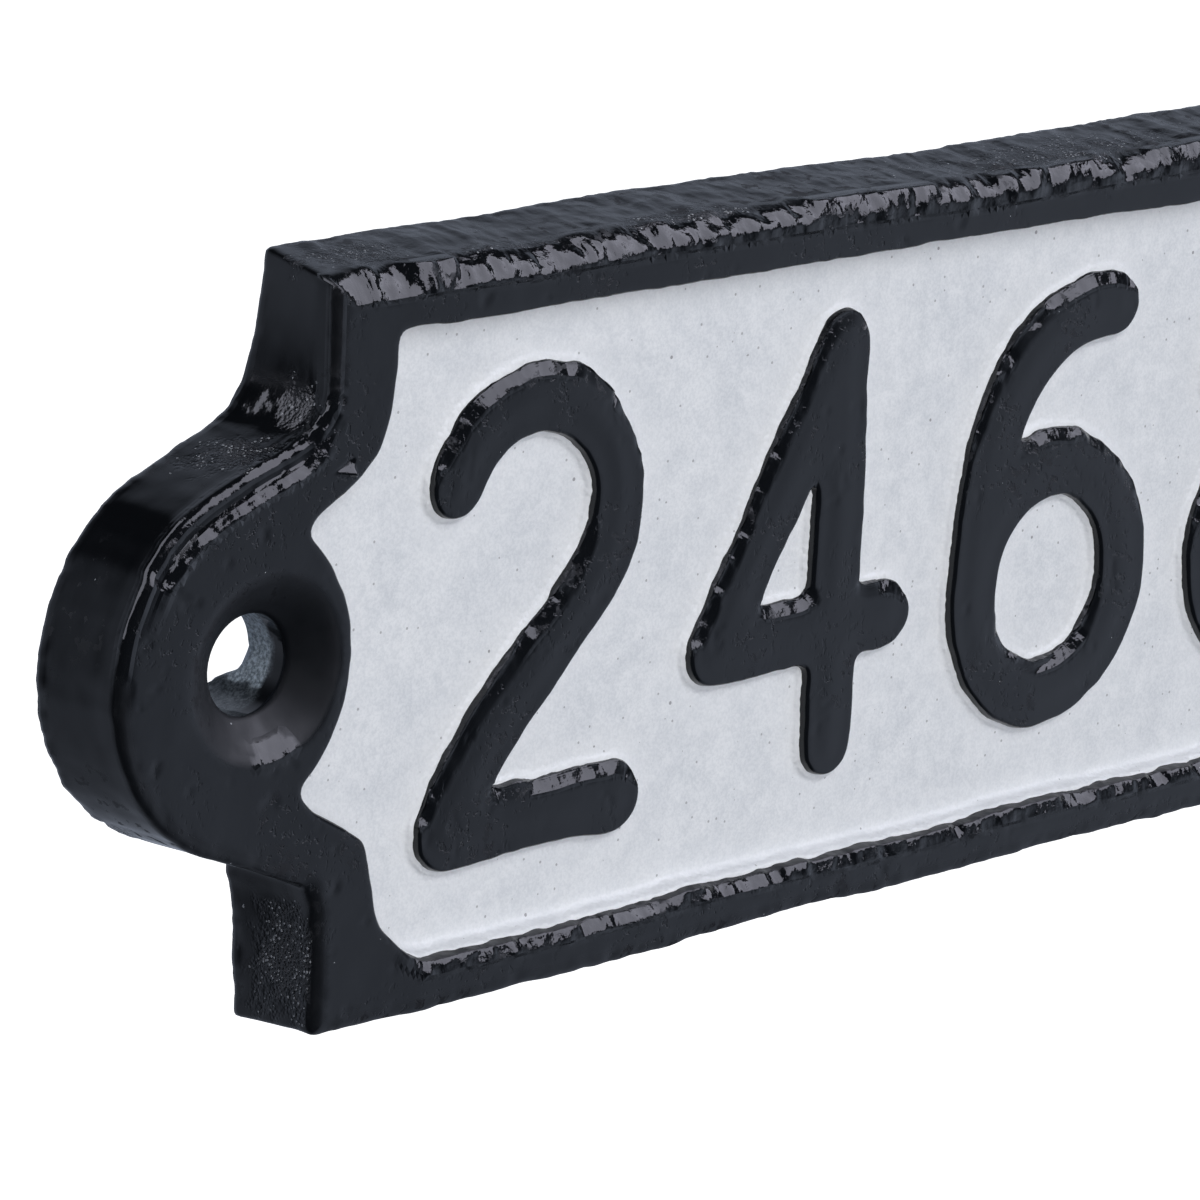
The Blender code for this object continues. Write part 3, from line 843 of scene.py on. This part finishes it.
def roughenCasting(places, faces, outer, recess, bores):
    # moves the skin's points, and makes the paint's masks
    look = casting
    normals = surfaceNormals(places, faces)
    facing = normals[:, 1]
    flat = places[:, [0, 2]]
    across, height = np.abs(flat[:, 0]), flat[:, 1]
    inBore, middle = boreDistance(flat, bores)
    away, way, nearest = within(flat, [outer], True)
    fromRecess, recessWay, recessPoint = within(flat, [recess], True)
    frontSide = ramp(facing, 0.02, 0.2)
    bevel, rim, _ = edgeShares(flat, way)
    bevel *= frontSide * ramp(look["chamfer"][0] + 0.3 - away, 0.0, 0.3) * ramp(56.0 - across, 0.3, 1.8)
    rim *= frontSide * ramp(look["ledgeStep"][0] + 0.3 - away, 0.0, 0.3)
    sill = frontSide * ramp(1.4 + fromRecess, 0.0, 0.3) * ramp(0.2 - fromRecess, 0.0, 0.2)
    sill *= innerShoulder(recessWay, flat)[2]
    step = rim * ramp(way[:, 1], 0.40, 0.65) * ramp(away, 1.2, 1.5)
    arris = 0.4 * frontSide * ramp(across, 56.0, 57.5) * ramp(0.8 - away, 0.0, 0.2) * ramp(height, 0, 3)
    softEdge = frontSide * ramp(1.2 - away, 0.0, 0.4) * ramp(0.3 - way[:, 1], 0.0, 0.3)
    cove = ramp(3.0 - lengths(np.abs(flat) - look["cove"]), 0.0, 0.8) * (height > 0)
    cove *= ramp(away, 0.05, 0.15) * ramp(0.85 - away, 0.0, 0.25) * frontSide
    ground = ramp(normals[:, 2], 0.80, 0.95) * ramp(height, 22, 24)
    sand = patchMask(places, sandPatches, 41) * (facing < 0.55)
    backSide = ramp(-facing, 0.3, 0.8)
    backEdge = ramp(1.3 - places[:, 1], 0.0, 0.9) * (np.abs(facing) < 0.9)
    calm = 1 - 0.8 * ramp(7.0 - inBore, 0.0, 1.0)
    areas = {
        "skin": calm, "step": step, "softEdge": softEdge, "sill": sill, "sand": sand, "back": backSide,
        "bevel": bevel * (1 + 0.15 * ramp(flat[:, 0], -45.0, -15.0)),
        "rim": rim * ramp(0.7 - away, 0.0, 0.4),
        "side": (np.abs(facing) < 0.4) * (1 - 0.9 * ground) * calm,
        "cone": ramp(6.4 - inBore, 0.0, 0.8) * ramp(inBore, 3.4, 4.2),
        "backEdge": backEdge * (1 - 0.35 * ramp(height, -6, 6)),
    }
    follows = {
        "place": places, "bevelRun": places * [1.2, 1, 1], "sillRun": places * [1.4, 1, 1],
        "edge": placed(nearest, away * 0.35), "sillEdge": placed(recessPoint, fromRecess * 0.35),
    }
    push = unevenness(castingLumps, areas, follows) - 0.12 * backSide
    push += cove * 0.4 * (0.5 - (height / look["coveSteps"] + 0.5 * lumps(places, 1.6, 25)) % 1.0)
    push -= 0.045 * ramp(lumps(places * [1, 1, 1.3], 1.4, 61), 0.42, 0.62) * (facing > 0.9) * calm
    chip = evenLoop(np.array(fleck["corners"]), 0.1, 0.08)
    inChip = ramp(within(flat, [chip]), 0.0, 0.22) * (facing > 0.6)
    push += inChip * (fleck["lift"] + (flat - fleck["at"]) @ fleck["tilt"])
    places = places + normals * push[:, None]
    places[:, 1] = np.clip(places[:, 1], 0.0, None)

    bare = 0.18 + 0.82 * ramp(places[:, 2] - look["bareHeight"] + 0.3 * lumps(places, 1.0, 22), -0.15, 0.15)
    bare *= ramp(look["bareDepth"] + 0.35 * lumps(places, 1.8, 21) - places[:, 1], 0.0, 0.25) * (inBore < 6.0)
    lit = (flat - middle) @ look["coneSpot"] / np.maximum(inBore, 1) + 0.02 * lumps(places, 1.0, 28)
    lit = ramp(lit, 0.93, 0.98)
    cone = ramp(6.5 - 1.6 * lit - inBore, 0.0, 0.5) * ramp(inBore, 3.0, 3.4) * (facing > 0.2)
    cone *= 1.15 + 0.3 * lumps(places, 0.6, 27, 3)
    coneRim = 0.6 * lit * ramp(inBore, 4.4, 5.0) * ramp(6.4 - inBore, 0.0, 0.3)
    wall = ramp(-fromRecess, -0.4, -0.2) * ramp(fromRecess + 0.4, 0.0, 0.2) * (np.abs(facing) < 0.7)
    return places, {
        "frontFace": ramp(facing, 0.8, 0.97),
        "sandPatch": np.maximum(sand, backSide * 0.45),
        "bareIron": bare,
        "groundFace": ground * (1 - sand),
        "dullPaint": np.maximum(np.maximum(cone, wall), softEdge * 0.7),
        "roughEdge": np.clip(bevel + step + arris + sill + coneRim, 0, 1),
    }


def makeCasting(material):
    look = casting
    step, ease = look["outlineStep"], look["cornerEase"]
    border = nodeOutlines("border")
    bores = [evenLoop(loop, step, 0.05) for loop in border if np.ptp(loop[:, 0]) < 10]
    loops = [castingOutline(border[0]), *bores]
    recess = evenLoop(nodeOutlines("white_field")[0], step, ease)
    recess = evenLoop(recess + outward(recess) * look["fieldGap"], 0.1, 0.2)
    for line in recessLines:
        recess = followLine(recess, np.array(line))
    recess = wavyLoop(evenLoop(recess, step, ease), look["recessWaves"], 23)
    front = triangulate(loops, castingPoints(loops, recess))
    shifts = [leanShift, boreShift, boreShift]
    backLoops = [loop + shift(loop, np.zeros(len(loop))) for loop, shift in zip(loops, shifts)]
    back = backSkin(backLoops, look["backRow"], 0.5)
    depth = frontDepth(front[0], loops[0], recess, bores)
    places, faces = closedSolid(loops, front, depth, back, 0, shifts, look["sideRow"])
    print("casting skin", len(places), "points")
    places, masks = roughenCasting(places, faces, loops[0], recess, bores)
    makePiece("castPlate", places, faces, masks, material, ["border", "back_panel"])
    return recess


# The white field

field = {
    "surface": 5.7,
    "underside": 5.3,
    "tuckedIn": 0.75,  # how far its edge runs into the casting's wall
    "grid": 0.42,
    "fillet": 0.07,  # thicker paint at walls and figures
    "filletReach": 0.40,
    "wallReach": 0.75,  # where it climbs, and how high
    "figureReach": 0.50,
    "wallClimb": 0.95,  # at the bottom wall
    "figureClimb": 0.32,
    "figureClimbUp": 0.14,  # at a figure's upper side
    "waves": [(0.030, 7.0, 53), (0.008, 1.6, 55)],  # height, length, seed
    "rings": [0.05, 0.13, 0.22, 0.32, 0.45, 0.62],
}


def makeField(material, recess, figureLoops):
    look = field
    edge = evenLoop(recess + outward(recess) * look["tuckedIn"], 0.45, 0.3)
    grid = hexPlaces([edge], look["grid"])
    fromWall, fromFigure = within(grid, [recess]), -within(grid, figureLoops)
    clear = (within(grid, [edge]) > look["grid"] * 0.6) & (np.abs(fromWall - 0.3) > 0.5)
    extra = [grid[clear & (np.abs(fromFigure - 0.3) > 0.5)]]
    extra += [recess + outward(recess) * 0.1, *ringsBeside(recess, look["rings"], [recess])]
    for loop in figureLoops:
        for ring in ringsBeside(loop, -np.array(look["rings"]), figureLoops):
            # no two of them too close in a corner
            kept = np.unique(np.round(ring / 0.09), axis=0, return_index=True)[1]
            extra.append(ring[kept])
    front = triangulate([edge], extra)
    back = backSkin([edge], 3.0, 1.5)
    flat = placed(front[0])
    fromWall, way, nearest = within(front[0], [recess], True)
    low = innerShoulder(way, nearest)[2]
    fromFigure, way, _ = within(front[0], figureLoops, True)
    fromWall, fromFigure = np.maximum(fromWall, 0), np.maximum(-fromFigure, 0)
    reach = look["filletReach"] * (1 + 0.35 * lumps(flat, 5.0, 51))
    rise = look["fillet"] * (np.exp(-fromWall / reach) + np.exp(-fromFigure / reach))
    uneven = 1 + 0.25 * lumps(flat, 1.2, 57)
    climb = look["figureClimb"] + (look["figureClimbUp"] - look["figureClimb"]) * figureShoulder(way)[2]
    rise += uneven * look["wallClimb"] * low * np.clip(1 - fromWall / look["wallReach"], 0, 1) ** 3
    rise += uneven * climb * np.clip(1 - fromFigure / look["figureReach"], 0, 1) ** 3
    rise += sum(height * lumps(flat, length, seed) for height, length, seed in look["waves"])
    depth = look["surface"] + rise
    places, faces = closedSolid([edge], front, depth, back, look["underside"])
    # nearness to an edge, where the white paint is sandier and painted lighter
    near = np.zeros(len(places))
    near[:len(depth)] = np.exp(-np.minimum(fromWall, fromFigure) / 1.5)
    makePiece("whiteField", places, faces, {"nearEdge": near}, material, ["white_field"])


# The raised figures

figure = {
    "foot": 5.15,
    "front": 6.62,
    "wallRun": 0.26,
    "shoulder": 0.28,  # width and drop of the rounded edge
    "shoulderUp": 0.80,  # how much wider it is where it faces up
    "dropUp": 0.40,  # and how much deeper
    "crown": 0.04,
    "outlineStep": 0.24,
    "grid": 0.27,
    "cornerEase": 0.45,
    "waves": [(0.16, 9.0), (0.09, 2.8), (0.04, 1.0)],
    "rounding": [0.05, 0.14, 0.26, 0.42, 0.60, 0.80, 1.0],
}

figureLumps = {
    # as for the casting, but each figure adds its own seed
    "all": [(0.035, 6.0, 0, 1), (0.010, 2.2, 2, 2)],
    "shoulder": [(0.03, 1.2, 4, 2)],
    "upward": [(0.15, 2.0, 6, 2, "run"), (0.05, 0.8, 7, 2)],
}


def figureOutlines(nodeName, seed):
    look = figure
    eased = [evenLoop(loop, look["outlineStep"], look["cornerEase"]) for loop in nodeOutlines(nodeName)]
    return [wavyLoop(loop, look["waves"], seed) for loop in eased]


def figureShoulder(way):
    # width and drop, and how far it faces up
    look = figure
    up = ramp(way[:, 1], 0.05, 0.75)
    return look["shoulder"] + look["shoulderUp"] * up, look["shoulder"] + look["dropUp"] * up, up


def makeFigure(nodeName, loops, seed, material):
    look = figure
    offsets = [look["wallRun"] * 0.5, look["wallRun"]]
    extra = [ring for loop in loops for ring in ringsBeside(loop, offsets, loops)]
    for loop in loops:
        wide = figureShoulder(outward(loop))[0]
        extra += ringsBeside(loop, [look["wallRun"] + wide * share for share in look["rounding"]], loops)
    grid = hexPlaces(loops, look["grid"])
    inside, way, _ = within(grid, loops, True)
    extra.append(grid[inside > look["wallRun"] + figureShoulder(way)[0] + 0.15])
    front = triangulate(loops, extra)
    back = backSkin(loops, 1.2, 0.6)
    inside, way, _ = within(front[0], loops, True)
    inside, (wide, drop, up) = np.maximum(inside, 0), figureShoulder(way)
    gap = ramp(lumps(np.column_stack([front[0], inside * 0]), 3.0, seed + 9, 2), -0.02, 0.18)
    drop = drop * (1 - 0.55 * up * gap)
    crest = look["front"] + look["crown"] * ramp(inside, 1.0, 2.6)
    wall = look["foot"] + (look["front"] - drop - look["foot"]) * inside / look["wallRun"]
    curve = crest - flatRound(np.maximum(inside - look["wallRun"], 0), wide, drop, 0.6 * up)
    depth = np.where(inside < look["wallRun"], wall, curve)
    places, faces = closedSolid(loops, front, depth, back, look["foot"] - 0.1)
    normals = surfaceNormals(places, faces)
    facing = normals[:, 1]
    shoulder = np.clip(4 * facing * (1 - facing), 0, 1)
    upward = shoulder * ramp(normals[:, 2], 0.1, 0.4)
    areas = {"all": 1, "shoulder": shoulder, "upward": upward}
    push = unevenness(figureLumps, areas, {"place": places, "run": places * [1.4, 1, 1]}, seed)
    push -= 0.022 * ramp(lumps(places, 1.4, seed + 8), 0.46, 0.62) * (facing > 0.9)
    push *= ramp(places[:, 1], look["foot"] + 0.2, look["foot"] + 0.5)
    places = places + normals * push[:, None]
    masks = {"frontFace": ramp(facing, 0.8, 0.97), "roughEdge": upward, "dullPaint": 0.4 * (facing < 0.6)}
    pieceName = "raised" + nodeName.title().replace("_", "")
    makePiece(pieceName, places, faces, masks, material, [nodeName])


# Camera, lights and floor

camera = {
    "turns": (0.2527143754, -0.7995191238, 0.0451209408),  # about X, Y and Z
    "offset": (-25.96342, 2.83123, 407.22073),  # of the left screw hole, in camera axes
    "focal": 6513.97,  # in pixels of a 1200 pixel frame
    "frame": 1200,
    "sensor": 36.0,
    "screwHole": 62.5,
}


def makeCamera():
    look = camera
    tilt, turn, roll = [Matrix.Rotation(angle, 3, axis) for angle, axis in zip(look["turns"], "XYZ")]
    toCamera = roll @ tilt @ turn  # camera x right, y down, z ahead
    toPlate = Matrix(((1, 0, 0), (0, 0, -1), (0, 1, 0)))  # to x right, y down, z into the wall
    flip = Matrix.Diagonal((1, -1, -1))
    turned = flip @ toCamera @ toPlate
    shift = flip @ (toCamera @ Vector((look["screwHole"], 0, 0)) + Vector(look["offset"]))
    data = bpy.data.cameras.new("photoCamera")
    data.sensor_width = look["sensor"]
    data.lens = look["focal"] / look["frame"] * look["sensor"]
    data.clip_start, data.clip_end = 0.01, 20
    seen = addObject("photoCamera", data)
    seen.matrix_world = Matrix.Translation(-(turned.transposed() @ shift) * mm) @ turned.transposed().to_4x4()
    bpy.context.scene.camera = seen


lamps = [
    # name, direction from the plate, distance, width, height, brightness, tint,
    # seen in gloss, lights the paint
    ("softbox", (0.50, -0.58, 0.66), 0.80, 0.86, 0.74, 3.5, (0.84, 0.85, 1.0), True, False),
    ("edgeStrip", (-0.66, 0.07, 0.75), 0.80, 0.50, 1.05, 3.0, (0.84, 0.86, 1.0), True, False),
    ("frontFill", (-0.15, -0.95, 0.32), 1.00, 1.40, 1.40, 2.2, (1.0, 0.99, 0.98), False, True),
]


def makeLamps():
    for name, way, distance, width, height, brightness, tint, inGloss, inDiffuse in lamps:
        data = bpy.data.lights.new(name, "AREA")
        data.shape = "RECTANGLE"
        data.size, data.size_y = width, height
        data.energy = brightness * math.pi * width * height
        data.color = tint
        lamp = addObject(name, data)
        away = Vector(way).normalized()
        upward = away.cross(Vector((0, 1, 0))).normalized()  # its height runs along the wall
        lamp.location = away * distance
        lamp.rotation_euler = Matrix((upward.cross(away), upward, away)).transposed().to_euler()
        lamp.visible_camera, lamp.visible_glossy, lamp.visible_diffuse = False, inGloss, inDiffuse


surround = {
    "tint": (0.86, 0.96, 1.18),
    "darkSide": (-0.72, -0.69, 0.0),  # behind the camera
    "paleSide": (0.72, -0.69, 0.0),  # table and wall that the front reflects
    "dark": 0.025,
    "pale": 0.35,
    "paler": 0.175,  # what the pale side adds
    "tableTop": 0.4,  # how much lower the pale side ends
    "backSide": (0.72, 0.69, 0.0),  # what the top reflects, and how much higher it ends
    "backTop": 0.35,
    "topEdge": (0.24, 0.70),  # heights where the pale room fades
    "footEdge": (-0.75, -0.30),  # and at the foot, to this share
    "footShare": 0.6,
    "floorDrop": 0.11,
    "floorSize": 4,
}


def makeSurround():
    look = surround
    world = bpy.data.worlds.new("studio")
    bpy.context.scene.world = world
    world.use_nodes = True
    sheet = NodeSheet(world.node_tree)
    background = world.node_tree.nodes["Background"]
    way = sheet.add("TexCoord").outputs["Generated"]
    height = sheet.add("SeparateXYZ", {"Vector": way}).outputs["Z"]
    flat = sheet.vector("NORMALIZE", sheet.vector("MULTIPLY", way, (1.0, 1.0, 0.0))[0])[0]
    toDark, toPale, toBack = [sheet.vector("DOT_PRODUCT", flat, look[side])["Value"]
                              for side in ("darkSide", "paleSide", "backSide")]
    away = sheet.between(toDark, -0.15, 0.45, 1.0, 0.0)
    side = sheet.between(toPale, 0.0, 1.0)
    back = sheet.between(toBack, 0.6, 0.95)
    rise = sheet.scaled(side, look["tableTop"], height)
    top = sheet.between(sheet.scaled(back, -look["backTop"], rise), *look["topEdge"], 1.0, 0.0)
    foot = sheet.between(height, *look["footEdge"], look["footShare"], 1.0)
    level = sheet.scaled(side, look["paler"], look["pale"])
    for share in (away, top, foot):
        level = sheet.times(level, share)
    level = sheet.maths("ADD", level, look["dark"])
    levels = sheet.add("CombineXYZ", {"X": level, "Y": level, "Z": level}).outputs[0]
    reflected = sheet.vector("MULTIPLY", levels, look["tint"])[0]
    seen = sheet.add("LightPath").outputs["Is Camera Ray"]
    sheet.join(background, {"Color": sheet.blend(seen, reflected, (1.0, 1.0, 1.0, 1.0))})
    bpy.ops.mesh.primitive_plane_add(size=look["floorSize"], location=(0, 0, -look["floorDrop"]))
    floor = bpy.context.object
    floor.name = "paleFloor"
    material, sheet, shader, _ = startMaterial("paleFloorFinish")
    pale, white = (0.9, 0.9, 0.9, 1.0), (1.0, 1.0, 1.0, 1.0)
    sheet.join(shader, {"Base Color": pale, "Emission Color": white, "Emission Strength": 1.0})
    floor.data.materials.append(material)
    floor.visible_glossy = floor.visible_diffuse = floor.visible_shadow = False


makeCamera()
makeLamps()
makeSurround()
bpy.context.scene.view_settings.view_transform = "Standard"
print("camera, lamps and floor stand")

recessLine = makeCasting(blackGlossMaterial("castingBlackGloss"))
figureNodes = ["figure_2", "figure_4", "figure_6", "figure_8"]
outlines = {name: figureOutlines(name, 100 + 10 * i) for i, name in enumerate(figureNodes)}
figureLoops = [loop for name in figureNodes for loop in outlines[name]]
makeField(whiteSatinMaterial("fieldWhiteSatin"), recessLine, figureLoops)
figureMaterial = blackGlossMaterial("figureBlackGloss", 1.05)
for i, name in enumerate(figureNodes):
    makeFigure(name, outlines[name], 200 + 10 * i, figureMaterial)
